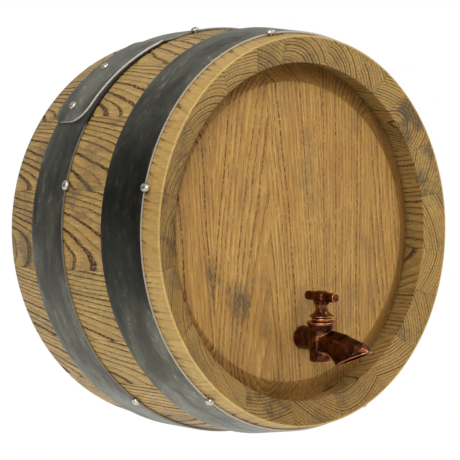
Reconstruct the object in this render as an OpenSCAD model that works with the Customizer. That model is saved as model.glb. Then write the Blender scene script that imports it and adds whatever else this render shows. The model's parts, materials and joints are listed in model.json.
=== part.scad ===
// Front half of an oak wine barrel, made to hang on a wall, with a plug cock in its head.
// Millimetres. The origin is the centre of the wall plane on the barrel's axis, +Z is up
// and the head faces -Y. Angles round the barrel count clockwise from the top, seen from
// the front. Heights run along the axis from the wall (0) to the front rim (depth).

/* [Barrel] */
// Outer diameter of the front rim
rim_d = 440; // [360:5:700]
// How much the radius grows from the rim to the wall
bulge = 40.5; // [20:0.5:70]
// Depth from the wall to the front rim
depth = 266; // [220:1:400]
// Thickness of the staves
stave_t = 30; // [22:1:40]
// How far the rim's bevel falls towards the head
rim_bevel = 14.3; // [4:0.1:20]

/* [Head] */
// Distance from the front rim back to the flat of the head
head_at = 39; // [30:1:80]
// Thickness of the head boards
head_t = 24; // [20:1:40]
// Width of the bevel round the head
head_bevel_w = 28.6; // [10:0.2:50]
// How far that bevel falls towards the wall
head_bevel_drop = 13.6; // [4:0.2:16]
// Thickness of the head's edge in the croze groove
tongue_t = 5.8; // [4:0.2:7]
// Depth of the croze groove
croze_deep = 6; // [3:0.5:10]
// Play of the head's edge in the groove
croze_play = 0.3; // [0.1:0.1:1]
// Diameter of the dowels that join the head boards
dowel_d = 8; // [5:0.5:12]
// Length of those dowels
dowel_len = 50; // [30:1:60]

/* [Hoops] */
// Thickness of the hoop iron
hoop_t = 2.4; // [1:0.1:4]
// Width of the front hoop
front_hoop_w = 57; // [30:1:70]
// Distance from the front rim to the front hoop's front edge
front_hoop_at = 19.8; // [10:0.2:40]
// Width of the rear hoop
rear_hoop_w = 62; // [30:1:75]
// Distance from the front rim to the rear hoop's front edge
rear_hoop_at = 142.6; // [120:0.2:190]
// Gap between the iron and the staves at the middle of a hoop
hoop_play = 0.05; // [0.05:0.05:0.5]
// How far round the free end laps over the other end, in degrees
lap_angle = 32; // [20:1:40]
// How far the free end lies towards the wall
lap_skew = 10; // [0:1:15]
// Corner radius of the free end
lap_round = 22; // [5:1:24]
// Diameter of the rivet shanks
rivet_d = 5; // [3:0.5:8]
// Diameter of the rivet heads
rivet_head_d = 9.6; // [8:0.2:14]
// Height of the rivet heads
rivet_head_t = 2.8; // [1:0.1:4]
// Diameter of the hoop nails' shanks
nail_d = 2.6; // [2:0.1:3.6]
// Length of the hoop nails
nail_len = 16; // [10:1:24]
// Diameter of the hoop nails' heads
nail_head_d = 8.6; // [6:0.2:12]
// Thickness of the hoop nails' heads
nail_head_t = 1.8; // [1:0.1:3]

/* [Tap] */
// Height of the tap's flow axis below the barrel's axis
tap_drop = 123.5; // [60:0.5:140]
// Distance from the flat of the head to the tap's body axis
tap_reach = 34.5; // [30:0.5:60]
// Height of the tap's body above the flow axis
body_up = 22; // [18:0.5:30]
// Height of the tap's body below the flow axis
body_down = 23.5; // [20:0.5:30]
// Radius of the body at its top
body_top_r = 16.2; // [15:0.1:22]
// Radius of the body at its bottom
body_bottom_r = 14.3; // [13.5:0.1:20]
// Radius of the inlet against the head
inlet_r = 13.9; // [13:0.1:20]
// Radius of the threaded shank through the head
shank_r = 10.5; // [9:0.1:12.5]
// Radius of the flow passage
flow_r = 5; // [3:0.1:6]
// Radius of the feed tube's socket in the end of the shank
socket_r = 5.5; // [5:0.1:7]
// Radius of the plug at the top of its taper
plug_top_r = 10.4; // [8:0.1:11]
// Radius of the plug at the bottom of its taper
plug_bottom_r = 8.2; // [7:0.1:9]
// Running clearance of the plug and of the threads
running_gap = 0.08; // [0.02:0.01:0.1]
// Corner radius of the hexagonal spout
spout_r = 15; // [13:0.1:16]
// Wall of the spout at its mouth
spout_wall = 3; // [2:0.1:4]
// Length of the T-shaped handle
handle_len = 45; // [30:1:60]
// Radius of the handle
handle_r = 4.75; // [3:0.05:7]
// Height of the handle's middle above the body
handle_up = 28.5; // [24:0.5:40]
// Radius of the key's waist
waist_r = 6.9; // [5:0.1:8]
// Radius of the key's skirt
skirt_r = 14.2; // [12:0.1:18]

/* [Hanging] */
// Height of the batten across the back
batten_w = 80; // [70:1:120]
// Thickness of the batten
batten_t = 24; // [20:1:35]
// Distance between the two keyholes
keyhole_span = 200; // [120:5:280]
// Diameter of a keyhole's round entry
keyhole_d = 10; // [8:0.5:12]
// Width of a keyhole's slot
keyslot_w = 5; // [4:0.5:6]
// Thickness of the hanger plates
plate_t = 2; // [1:0.5:3]
// Diameter of the batten screws
batten_screw_d = 4.5; // [3:0.5:6]

/* [Hidden] */
$fn = 96;

// joints between staves, in degrees round the barrel
stave_edges = [5, 21, 31, 41, 60, 78, 98, 114, 134, 152, 172,
               192, 212, 228, 243, 262, 282, 302, 321, 335, 346];
stave_count = len(stave_edges);
// joints between head boards, as shares of the head's radius
board_edges = [-1.1, -0.60, -0.22, 0.18, 0.58, 1.1];
board_count = len(board_edges) - 1;
// heights of the dowels, as shares of the head's radius
dowel_rows = [-0.38, 0.42];
// where the free ends of the hoops lie
front_lap_end = 120;
rear_lap_end = 300;
// hoop nails round each hoop
front_nails = [35, 97, 159, 221, 283, 345];
rear_nails = [35, 97, 159, 221, 283, 343];
// rivets, in degrees back from the free end, and their shift towards the wall
rivets = [[4.9, 12.5], [19.2, 15]];

function two_digits(n) = n < 10 ? str("0", n) : str(n);
function stave_name(i) = str("stave_", two_digits(i + 1));
function board_name(i) = str("head_board_", i + 1);

oak = [0.73, 0.58, 0.36];
iron = [0.30, 0.31, 0.31];
bright_steel = [0.75, 0.75, 0.73];
copper = [0.40, 0.20, 0.12];
steel = [0.6, 0.6, 0.6];

// the staves' outer face is one arc whose top is at the wall
arc_r = (depth * depth + bulge * bulge) / (2 * bulge);
arc_x = rim_d / 2 + bulge - arc_r;
function outer_r(h) = arc_x + sqrt(pow(arc_r, 2) - h * h);
function inner_r(h) = arc_x + sqrt(pow(arc_r - stave_t, 2) - h * h);
function lean(h) = asin(h / arc_r);
arc_steps = 14;

head_face = depth - head_at;
head_back = head_face - head_t;
tongue_front = head_face - head_bevel_drop;
tongue_back = tongue_front - tongue_t;
wall_r = inner_r(tongue_front);
groove_r = inner_r(tongue_front) + croze_deep;
head_r = groove_r - croze_play;
head_back_bevel = 12;

front_hoop_mid = depth - front_hoop_at - front_hoop_w / 2;
rear_hoop_mid = depth - rear_hoop_at - rear_hoop_w / 2;
lap_lift = hoop_t + 0.15;
lap_step = 4;
lap_seat = 1;
step_inset = 0.3;
lap_gap = 0.5;

nail_lap = 1.9;
nail_sink = 0.1;
hole_gap = 0.1;

tap_y = -head_face - tap_reach;
inlet_gap = 1.5;
shank_out = 18;
socket_stop = 18;
shank_hole_gap = 0.3;
back_washer_t = 2;
back_washer_r = 20;
back_nut_t = 9;
back_nut_af = 32;
rim_h = 3;
rim_out = 0.7;
recess_h = 7;
recess_r = body_bottom_r - 4;
washer_t = 1.4;
plug_below = 0.5;
key_screw_d = 5;
key_screw_len = 12;
key_head_r = 5.2;
key_head_t = 2.6;
key_slot_w = 1.2;
key_slot_deep = 1.2;
key_lift = 0.4;
key_ring_h = 3.4;
key_ring_out = 1.4;
key_groove_in = 0.6;
skirt_up = 2;
skirt_lip = 0.8;
neck_h = 9;
neck_curve = 2.6;
collar_out = 0.4;
hub_out = 2.1;
hub_half = 6;
washer_gap = 0.6;
washer_hole_gap = 0.4;
gasket_in = 0.6;

spout_down = 2;
spout_straight = 24;
spout_bend = 14;
spout_fall = 1.5;
spout_ridge = [-55, 4.5];
spout_start = 2;
spout_shrink = 0.2;
mouth_cheek = 14;
mouth_tip = [-75.5, -3.5];
mouth_lip = [-29, -24.5];
mouth_mid = (mouth_tip + mouth_lip) / 2;
mouth_len = norm(mouth_tip - mouth_lip);
mouth_turn = 180 - atan2(mouth_tip[1] - mouth_lip[1], mouth_lip[0] - mouth_tip[0]);

screw_reach = 49;
screw_z = 22;
screw_depth = 18;
screw_head_t = 3;
pocket_r = 4.6;
pocket_deep = 6;
pocket_gap = 0.4;
keyhole_room = 2.5;
keyhole_deep = 9;
plate_w = 22;
plate_h = 60;
slot_rise = 12;
plate_screw_d = 3.4;
plate_screw_len = 16;
plate_screw_z = 23;
batten_play = 0.3;

// lays the barrel down: heights along the axis become distances from the wall
module laid() rotate([90, 0, 0]) children();

// turns to a place round the barrel
module at_angle(a) rotate([0, 0, 90 - a]) children();

function has_angle(a, from, to) =
    (a > from && a < to) || (a + 360 > from && a + 360 < to);

// ---- staves ----

module stave_profile() {
    bevel_h = depth - rim_bevel;
    groove_top = tongue_front + croze_play;
    groove_bottom = tongue_back - croze_play;
    outside = [for (i = [0 : arc_steps]) let (h = depth * i / arc_steps) [outer_r(h), h]];
    front = [for (h = [bevel_h, (bevel_h + groove_top) / 2, groove_top]) [inner_r(h), h]];
    groove = [[groove_r, groove_top], [groove_r, groove_bottom]];
    inside = [for (i = [arc_steps : -1 : 0])
        let (h = groove_bottom * i / arc_steps) [inner_r(h), h]];
    polygon(concat(outside, front, groove, inside));
}

module stave(i) {
    from = stave_edges[i];
    to = i == stave_count - 1 ? stave_edges[0] + 360 : stave_edges[i + 1];
    color(oak) difference() {
        laid() at_angle(to) rotate_extrude(angle = to - from) stave_profile();
        laid() {
            for (a = front_nails) if (has_angle(a, from, to))
                nail_shank(a, front_hoop_mid, front_hoop_w, hole_gap);
            for (a = rear_nails) if (has_angle(a, from, to))
                nail_shank(a, rear_hoop_mid, rear_hoop_w, hole_gap);
        }
        if (has_angle(90, from, to)) batten_screw_pair(1, hole_gap);
        if (has_angle(270, from, to)) batten_screw_pair(-1, hole_gap);
    }
}

// ---- head ----

module head_profile() {
    polygon([[0, head_face], [wall_r - head_bevel_w, head_face], [wall_r, tongue_front],
             [head_r, tongue_front], [head_r, tongue_back], [wall_r, tongue_back],
             [wall_r - head_back_bevel, head_back], [0, head_back]]);
}

module head_dowel_set(gap) {
    for (i = [1 : board_count - 1], row = dowel_rows)
        translate([board_edges[i] * head_r, -head_back - head_t / 2, row * head_r])
            rotate([0, 90, 0])
                cylinder(h = dowel_len + 2 * gap, d = dowel_d + 2 * gap, center = true);
}

module head_board(i) {
    from = board_edges[i] * head_r;
    to = board_edges[i + 1] * head_r;
    color(oak) difference() {
        intersection() {
            laid() rotate_extrude() head_profile();
            translate([from, -depth, -rim_d]) cube([to - from, depth, 2 * rim_d]);
        }
        head_dowel_set(hole_gap);
        translate([0, tap_y, -tap_drop]) rotate([-90, 0, 0])
            cylinder(h = depth, r = shank_r + shank_hole_gap);
    }
}

module head_dowels() color(oak) head_dowel_set(0);

// ---- hoops ----

// flat iron lying on the staves, in section, tangent to them at its middle
module strip_profile(mid, width, lift, thick = hoop_t) {
    translate([outer_r(mid), mid]) rotate(lean(mid))
        translate([hoop_play + lift, -width / 2]) square([thick, width]);
}

module strip(mid, width, lift, from, to, thick = hoop_t) {
    at_angle(to) rotate_extrude(angle = to - from) strip_profile(mid, width, lift, thick);
}

// moves to the iron's face at a place: X out of the barrel, Z along the iron to the front
module on_hoop(a, mid, along, lift) {
    at_angle(a) translate([outer_r(mid), 0, mid]) rotate([0, -lean(mid), 0])
        translate([hoop_play + lift, 0, along]) children();
}

// the free end seen from outside: a strip with two round corners
module lap_outline(width, len) {
    translate([0, -width / 2]) square([len - lap_round, width]);
    translate([0, lap_round - width / 2]) square([len, width - 2 * lap_round]);
    for (side = [-1, 1])
        translate([len - lap_round, side * (width / 2 - lap_round)]) circle(lap_round);
}

module hoop(mid, width, lap_end) {
    root = lap_end + lap_angle;
    color(iron) laid() difference() {
        union() {
            strip(mid, width, 0, root + lap_step - lap_seat - 360, root - lap_gap);
            strip(mid, width - 2 * step_inset, step_inset, root, root + lap_step,
                  lap_lift + hoop_t - 2 * step_inset);
            intersection() {
                strip(mid, width + 4 * lap_skew, lap_lift, lap_end - 2, root + lap_seat);
                lap_cutter(mid, width, root + lap_seat, lap_angle + lap_seat);
            }
        }
        hoop_rivet_set(mid, lap_end, hole_gap, 1);
    }
}

// cuts the free end's outline out of wider iron, square to the iron half way along the lap
module lap_cutter(mid, width, root, angle) {
    r = outer_r(mid);
    half = r * sin(angle / 2);
    on_hoop(root - angle / 2, mid, 0, -r / 4) rotate([0, 90, 0])
        linear_extrude(r) translate([0, -half]) rotate(90 - atan2(lap_skew, 2 * half))
            lap_outline(width, 2 * half);
}

module hoop_rivet_set(mid, lap_end, gap, past) {
    for (rivet = rivets) on_hoop(lap_end + rivet[0], mid, -rivet[1], -past)
        rotate([0, 90, 0])
            cylinder(h = lap_lift + hoop_t + 2 * past, d = rivet_d + 2 * gap);
}

// a low dome standing on its flat face, its axis along X
module dome(r, h) {
    ball = (r * r + h * h) / (2 * h);
    rotate([0, 90, 0]) intersection() {
        translate([0, 0, h - ball]) sphere(ball);
        cylinder(h = h, r = r);
    }
}

module hoop_rivets(mid, lap_end) {
    color(bright_steel) laid() {
        hoop_rivet_set(mid, lap_end, 0, 0);
        for (rivet = rivets) on_hoop(lap_end + rivet[0], mid, -rivet[1], lap_lift + hoop_t)
            dome(rivet_head_d / 2, rivet_head_t);
    }
}

// a nail goes into a stave just in front of the iron, and its head holds the iron's edge
module nail_shank(a, mid, width, gap) {
    on_hoop(a, mid, width / 2 + nail_lap, hoop_t - nail_len) rotate([0, 90, 0])
        cylinder(h = nail_len + nail_sink, d = nail_d + 2 * gap);
}

module hoop_nails(angles, mid, width) {
    color(bright_steel) laid() for (a = angles) {
        nail_shank(a, mid, width, 0);
        on_hoop(a, mid, width / 2 + nail_lap, hoop_t + nail_sink)
            dome(nail_head_d / 2, nail_head_t);
    }
}

// ---- tap ----

// moves to where the tap's body axis crosses its flow axis
module at_tap() translate([0, tap_y, -tap_drop]) children();

// a round bar along the flow, from one distance behind the body axis to another
module along_flow(from, to, r) {
    translate([0, from, 0]) rotate([-90, 0, 0]) cylinder(h = to - from, r = r);
}

// a six-sided slice of the spout, a corner on top
module hex_slice(y, z, r, len) {
    translate([0, y, z]) rotate([90, 0, 0]) rotate([0, 0, 30])
        cylinder(h = len, r = r, $fn = 6);
}

// the mouth's outline: a blunt back, straight cheeks and a pointed nose
module mouth_slice(inset, out) {
    half = mouth_len / 2 - inset;
    cheek = mouth_cheek - inset;
    translate([0, mouth_mid[0], mouth_mid[1]]) rotate([mouth_turn, 0, 0])
        translate([0, 0, out - 1]) linear_extrude(1)
            polygon([[-cheek / 2, -half], [cheek / 2, -half], [cheek, -half * 0.6],
                     [cheek, half * 0.2], [cheek / 2, half * 0.8], [0, half],
                     [-cheek / 2, half * 0.8], [-cheek, half * 0.2], [-cheek, -half * 0.6]]);
}

module spout_shell(inset, out) {
    hull() {
        hex_slice(spout_start - spout_straight - 3 * inset, -spout_down,
                  spout_r - inset - spout_shrink, 1);
        hex_slice(-spout_straight - spout_bend, -spout_down - spout_fall, spout_r - inset, 1);
        hex_slice(spout_ridge[0], spout_ridge[1] - 1.5 * inset, 1, 0.5);
        mouth_slice(inset, out);
    }
}

module tap_body() {
    inlet_end = tap_reach - inlet_gap;
    shank_end = tap_reach + head_t + shank_out;
    color(copper) at_tap() difference() {
        union() {
            translate([0, 0, -body_down])
                cylinder(h = body_down + body_up, r1 = body_bottom_r, r2 = body_top_r);
            translate([0, 0, body_up - rim_h]) cylinder(h = rim_h, r = body_top_r + rim_out);
            along_flow(0, inlet_end, inlet_r);
            along_flow(inlet_end - 1, shank_end, shank_r);
            hex_slice(0, -spout_down, spout_r, spout_straight);
            spout_shell(0, 0);
        }
        translate([0, 0, -body_down])
            cylinder(h = body_down + body_up, r1 = taper_r(-body_down), r2 = taper_r(body_up));
        translate([0, 0, -body_down - 20]) cylinder(h = 20 + recess_h, r = recess_r);
        along_flow(-spout_straight - spout_bend / 2, shank_end, flow_r);
        along_flow(socket_stop, shank_end + 1, socket_r);
        spout_shell(spout_wall, 1);
        translate([0, 0, -body_down - 20]) cylinder(h = 20, r = body_bottom_r);
    }
}

// the plug's taper runs from the top of the body to the roof of the recess
function taper_r(z) = plug_r(z) + running_gap;
function plug_r(z) =
    plug_bottom_r + (plug_top_r - plug_bottom_r) * (z + body_down - recess_h)
        / (body_up + body_down - recess_h);

module key_profile() {
    foot = body_up + key_lift;
    ring_top = foot + key_ring_h;
    lip = ring_top + skirt_up;
    neck_top = body_up + handle_up - handle_r;
    neck_steps = 10;
    neck = [for (i = [0 : neck_steps]) let (t = i / neck_steps)
        [waist_r + (skirt_r - waist_r) * pow(1 - t, neck_curve), lip + skirt_lip + t * neck_h]];
    polygon(concat([[0, foot], [plug_top_r + key_ring_out - 0.5, foot],
                    [plug_top_r + key_ring_out, ring_top],
                    [plug_top_r - key_groove_in, ring_top + skirt_lip], [skirt_r, lip]],
                   neck, [[waist_r + collar_out, neck_top], [0, neck_top]]));
}

module tap_key() {
    plug_end = recess_h - body_down - plug_below;
    color(copper) at_tap() difference() {
        union() {
            rotate_extrude() key_profile();
            translate([0, 0, plug_end])
                cylinder(h = body_up + key_lift - plug_end, r1 = plug_r(plug_end),
                         r2 = plug_r(body_up + key_lift));
            translate([0, 0, body_up + handle_up]) {
                along_flow(-handle_len / 2, handle_len / 2, handle_r);
                along_flow(-hub_half, hub_half, handle_r + hub_out);
            }
        }
        along_flow(-2 * plug_top_r, 2 * plug_top_r, flow_r);
        translate([0, 0, plug_end - 1])
            cylinder(h = key_screw_len + 1, d = key_screw_d + 2 * running_gap);
    }
}

module tap_key_washer() {
    plug_end = recess_h - body_down - plug_below;
    color(steel) at_tap() translate([0, 0, plug_end - washer_t]) difference() {
        cylinder(h = washer_t, r = recess_r - washer_gap);
        translate([0, 0, -1]) cylinder(h = washer_t + 2, d = key_screw_d + washer_hole_gap);
    }
}

module tap_key_screw() {
    under_washer = recess_h - body_down - plug_below - washer_t;
    color(steel) at_tap() difference() {
        union() {
            translate([0, 0, under_washer - key_head_t])
                cylinder(h = key_head_t, r = key_head_r);
            translate([0, 0, under_washer - 0.1])
                cylinder(h = key_screw_len + washer_t - 0.5, d = key_screw_d);
        }
        translate([-key_head_r - 1, -key_slot_w / 2, under_washer - key_head_t - 1])
            cube([2 * key_head_r + 2, key_slot_w, key_slot_deep + 1]);
    }
}

module tap_gasket() {
    color([0.25, 0.14, 0.08]) at_tap() difference() {
        along_flow(tap_reach - inlet_gap, tap_reach, inlet_r - gasket_in);
        along_flow(0, tap_reach + 1, shank_r + hole_gap);
    }
}

module tap_back_washer() {
    from = tap_reach + head_t;
    color(steel) at_tap() difference() {
        along_flow(from, from + back_washer_t, back_washer_r);
        along_flow(from - 1, from + back_washer_t + 1, shank_r + washer_hole_gap);
    }
}

module tap_back_nut() {
    from = tap_reach + head_t + back_washer_t;
    color(copper) at_tap() difference() {
        translate([0, from, 0]) rotate([-90, 0, 0])
            cylinder(h = back_nut_t, d = back_nut_af / cos(30), $fn = 6);
        along_flow(from - 1, from + back_nut_t + 1, shank_r + running_gap);
    }
}

// ---- hanging ----

// one screw through the batten's end into a stave, slanted outwards
module batten_screw(side, z, gap) {
    reach = sqrt(pow(inner_r(screw_depth), 2) - z * z);
    mirror([side < 0 ? 1 : 0, 0, 0])
        translate([reach, -screw_depth, z]) rotate([0, 90, 0]) rotate([-45, 0, 0])
            mirror([0, 0, 1]) translate([0, 0, screw_depth * sqrt(2) - screw_reach])
                cylinder(h = screw_reach - screw_head_t, d = batten_screw_d + 2 * gap);
}

module batten_screw_head(side, z, r, len) {
    reach = sqrt(pow(inner_r(screw_depth), 2) - z * z);
    mirror([side < 0 ? 1 : 0, 0, 0])
        translate([reach, -screw_depth, z]) rotate([0, 90, 0]) rotate([-45, 0, 0])
            mirror([0, 0, 1]) translate([0, 0, screw_depth * sqrt(2) - pocket_deep])
                cylinder(h = len, r = r);
}

module batten_screw_pair(side, gap) {
    for (z = [-screw_z, screw_z]) batten_screw(side, z, gap);
}

module batten_screws() {
    color(steel) for (side = [-1, 1], z = [-screw_z, screw_z]) {
        batten_screw(side, z, 0);
        batten_screw_head(side, z, pocket_r - pocket_gap, screw_head_t);
    }
}

module plate_screw_set(side, gap) {
    for (z = [-plate_screw_z, plate_screw_z])
        translate([side * keyhole_span / 2, -plate_screw_len, z]) rotate([-90, 0, 0])
            cylinder(h = plate_screw_len, d = plate_screw_d + 2 * gap);
}

module keyhole(grow, from, to) {
    translate([0, from, 0]) rotate([-90, 0, 0]) {
        cylinder(h = to - from, d = keyhole_d + 2 * grow);
        translate([-keyslot_w / 2 - grow, -slot_rise, 0])
            cube([keyslot_w + 2 * grow, slot_rise, to - from]);
        translate([0, -slot_rise, 0]) cylinder(h = to - from, d = keyslot_w + 2 * grow);
    }
}

module wall_batten() {
    color(oak) difference() {
        intersection() {
            translate([-rim_d, -batten_t, -batten_w / 2]) cube([2 * rim_d, batten_t, batten_w]);
            translate([0, 1, 0]) rotate([90, 0, 0])
                cylinder(h = batten_t + 2, r = inner_r(batten_t) - batten_play);
        }
        for (side = [-1, 1]) {
            batten_screw_pair(side, hole_gap);
            for (z = [-screw_z, screw_z]) batten_screw_head(side, z, pocket_r, 20);
            plate_screw_set(side, hole_gap);
            translate([side * keyhole_span / 2, 0, 0]) {
                translate([-plate_w / 2 - hole_gap, -plate_t, -plate_h / 2 - hole_gap])
                    cube([plate_w + 2 * hole_gap, plate_t + 1, plate_h + 2 * hole_gap]);
                keyhole(keyhole_room, -plate_t - keyhole_deep, 1);
            }
        }
    }
}

module hanger_plate(side) {
    color(bright_steel) difference() {
        translate([side * keyhole_span / 2 - plate_w / 2, -plate_t, -plate_h / 2])
            cube([plate_w, plate_t, plate_h]);
        plate_screw_set(side, hole_gap);
        translate([side * keyhole_span / 2, 0, 0]) keyhole(0, -plate_t - 1, 1);
    }
}

module hanger_screws() {
    color(steel) for (side = [-1, 1]) plate_screw_set(side, 0);
}

// ---- assembly ----

for (i = [0 : stave_count - 1])
    stave(i);
for (i = [0 : board_count - 1])
    head_board(i);
head_dowels();
hoop(front_hoop_mid, front_hoop_w, front_lap_end);  // front_hoop
hoop(rear_hoop_mid, rear_hoop_w, rear_lap_end);  // rear_hoop
hoop_rivets(front_hoop_mid, front_lap_end);  // front_hoop_rivets
hoop_rivets(rear_hoop_mid, rear_lap_end);  // rear_hoop_rivets
hoop_nails(front_nails, front_hoop_mid, front_hoop_w);  // front_hoop_nails
hoop_nails(rear_nails, rear_hoop_mid, rear_hoop_w);  // rear_hoop_nails
tap_body();
tap_key();
tap_key_washer();
tap_key_screw();
tap_gasket();
tap_back_washer();
tap_back_nut();
wall_batten();
batten_screws();
hanger_plate(-1);  // hanger_plate_left
hanger_plate(1);  // hanger_plate_right
hanger_screws();
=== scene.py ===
import json
import math
import random
import bmesh
import bpy
from mathutils import Matrix, Vector


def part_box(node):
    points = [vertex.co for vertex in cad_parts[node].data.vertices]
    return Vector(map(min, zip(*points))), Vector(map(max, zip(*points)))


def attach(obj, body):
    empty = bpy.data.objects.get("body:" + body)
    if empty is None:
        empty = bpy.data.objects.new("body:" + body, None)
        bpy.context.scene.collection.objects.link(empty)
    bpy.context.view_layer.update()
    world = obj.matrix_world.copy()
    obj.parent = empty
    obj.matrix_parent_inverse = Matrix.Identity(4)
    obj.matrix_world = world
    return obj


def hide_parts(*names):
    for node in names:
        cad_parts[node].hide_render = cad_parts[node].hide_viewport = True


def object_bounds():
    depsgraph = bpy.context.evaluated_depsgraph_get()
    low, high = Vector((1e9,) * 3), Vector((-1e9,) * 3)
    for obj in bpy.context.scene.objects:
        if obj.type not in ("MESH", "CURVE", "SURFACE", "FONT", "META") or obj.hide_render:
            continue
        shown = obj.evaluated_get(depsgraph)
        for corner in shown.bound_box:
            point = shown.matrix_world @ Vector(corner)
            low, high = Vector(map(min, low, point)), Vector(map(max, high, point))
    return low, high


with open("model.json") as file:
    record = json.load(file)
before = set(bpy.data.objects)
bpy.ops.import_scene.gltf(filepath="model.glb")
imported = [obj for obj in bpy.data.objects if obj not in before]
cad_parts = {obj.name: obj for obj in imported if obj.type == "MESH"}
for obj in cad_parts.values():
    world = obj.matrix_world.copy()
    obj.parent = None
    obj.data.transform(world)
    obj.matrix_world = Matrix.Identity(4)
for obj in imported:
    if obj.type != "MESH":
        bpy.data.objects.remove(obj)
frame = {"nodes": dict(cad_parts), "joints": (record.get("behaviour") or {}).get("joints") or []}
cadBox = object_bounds()
mm = 0.001
chance = random.Random(7)
print("frame loaded")

# angles round the barrel count clockwise from the top, seen from the front;
# heights run along its axis from the wall to the front rim
barrel = {
    "rimRadius": 220 * mm,
    "bulge": 40.5 * mm,     # how much the radius grows from the rim to the wall
    "staveThick": 30 * mm,
    "rimBevel": 14.3 * mm,  # how far the chime falls towards the head
}
depth = -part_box("stave_01")[0].y
arcRadius = (depth ** 2 + barrel["bulge"] ** 2) / (2 * barrel["bulge"])
arcCentre = barrel["rimRadius"] + barrel["bulge"] - arcRadius


def outerRadius(height):
    return arcCentre + math.sqrt(arcRadius ** 2 - height ** 2)


def innerRadius(height):
    return arcCentre + math.sqrt((arcRadius - barrel["staveThick"]) ** 2 - height ** 2)


def lean(height):
    return math.asin(height / arcRadius)


def onBarrel(radius, angle, height):
    return Vector((radius * math.sin(angle), -height, radius * math.cos(angle)))


def angleOf(point):
    return math.atan2(point.x, point.z)


def smoothStep(value):
    value = min(max(value, 0), 1)
    return value * value * (3 - 2 * value)


def addNode(tree, kind, inputs=None, **settings):
    node = tree.nodes.new("ShaderNode" + kind)
    for key, value in settings.items():
        setattr(node, key, value)
    for key, value in (inputs or {}).items():
        if isinstance(value, bpy.types.NodeSocket):
            tree.links.new(value, node.inputs[key])
        else:
            node.inputs[key].default_value = value
    return node


def maths(tree, operation, first, second=0.0, third=0.0, clamp=False):
    return addNode(tree, "Math", {0: first, 1: second, 2: third},
                   operation=operation, use_clamp=clamp).outputs[0]


def vectorMaths(tree, operation, first, second):
    return addNode(tree, "VectorMath", {0: first, 1: second}, operation=operation).outputs[0]


def mapRange(tree, value, low, high, toLow=0.0, toHigh=1.0):
    return addNode(tree, "MapRange", {"Value": value, "From Min": low, "From Max": high,
                                      "To Min": toLow, "To Max": toHigh},
                   interpolation_type="SMOOTHSTEP").outputs["Result"]


def mixColour(tree, factor, first, second, blend="MIX"):
    node = addNode(tree, "Mix", data_type="RGBA", blend_type=blend)
    sockets = node.inputs[0], node.inputs[6], node.inputs[7]  # its factor and two colours
    for socket, value in zip(sockets, (factor, first, second)):
        if isinstance(value, bpy.types.NodeSocket):
            tree.links.new(value, socket)
        else:
            socket.default_value = value
    return node.outputs[2]


def noiseField(tree, place, size, detail=2.0, rough=0.5):
    # size is the pattern's grain in metres along each axis
    scaled = addNode(tree, "Mapping", {"Vector": place, "Scale": tuple(1 / s for s in size)})
    return addNode(tree, "TexNoise", {"Vector": scaled.outputs[0], "Scale": 1.0,
                                      "Detail": detail, "Roughness": rough})


def newMaterial(name, roughness=0.5, metallic=0.0, specular=0.5):
    material = bpy.data.materials.new(name)
    material.use_nodes = True
    tree = material.node_tree
    shader = tree.nodes["Principled BSDF"]
    shader.inputs["Roughness"].default_value = roughness
    shader.inputs["Metallic"].default_value = metallic
    shader.inputs["Specular IOR Level"].default_value = specular
    return material, tree, shader


def attribute(tree, name):
    return addNode(tree, "Attribute", attribute_name=name)


def rgb(red, green, blue):
    # display values from 0 to 255, made linear
    def linear(value):
        value /= 255
        return value / 12.92 if value <= 0.04045 else ((value + 0.055) / 1.055) ** 2.4
    return (linear(red), linear(green), linear(blue), 1.0)


def bump(tree, shader, height, distance, strength=1.0):
    node = addNode(tree, "Bump", {"Height": height, "Distance": distance, "Strength": strength})
    tree.links.new(node.outputs["Normal"], shader.inputs["Normal"])


# "log" holds each point's place in the tree it was sawn from, the pith along its third axis;
# "trait" holds a tone, which also carries painted shade and light, how grey the wood has weathered and
# how bold its rings are
oakLook = {
    "ground": rgb(184, 154, 93),
    "groundDeep": rgb(163, 133, 76),
    "late": rgb(148, 113, 60),
    "line": rgb(54, 31, 12),
    "grey": rgb(98, 86, 64),
    "brown": (1.0, 0.87, 0.72, 1.0),  # what the darker wood is tinted with
    "ringWidth": 3.8 * mm,
    "lineShare": 0.36,      # how much of a ring its pores take
    "lateShare": 0.30,      # how much the ring darkens outwards
    "bend": 7 * mm,         # how far the rings wander
    "wobble": 1.1 * mm,
    "pore": (0.8 * mm, 0.8 * mm, 3.2 * mm),
    "fibre": 0.22,          # how much of the colour varies with the fibres
    "poreGap": 0.3,         # how dark a ring's line stays between its pores
    "even": 0.35,           # how bold the faintest ring is
    "lineDepth": 0.9 * mm,
}
# sizes of the wood's patterns in metres, twice across the log and once along it
oakSizes = {
    "bend": (0.09, 0.09, 0.42),
    "wobble": (0.016, 0.016, 0.045),
    "fibre": (0.003, 0.003, 0.07),
    "cloud": (0.025, 0.025, 0.12),
    "spots": (0.035, 0.035, 0.06),
    "speck": (0.0022, 0.0022, 0.005),
    "grain": (0.0015, 0.0015, 0.011),
}


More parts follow.
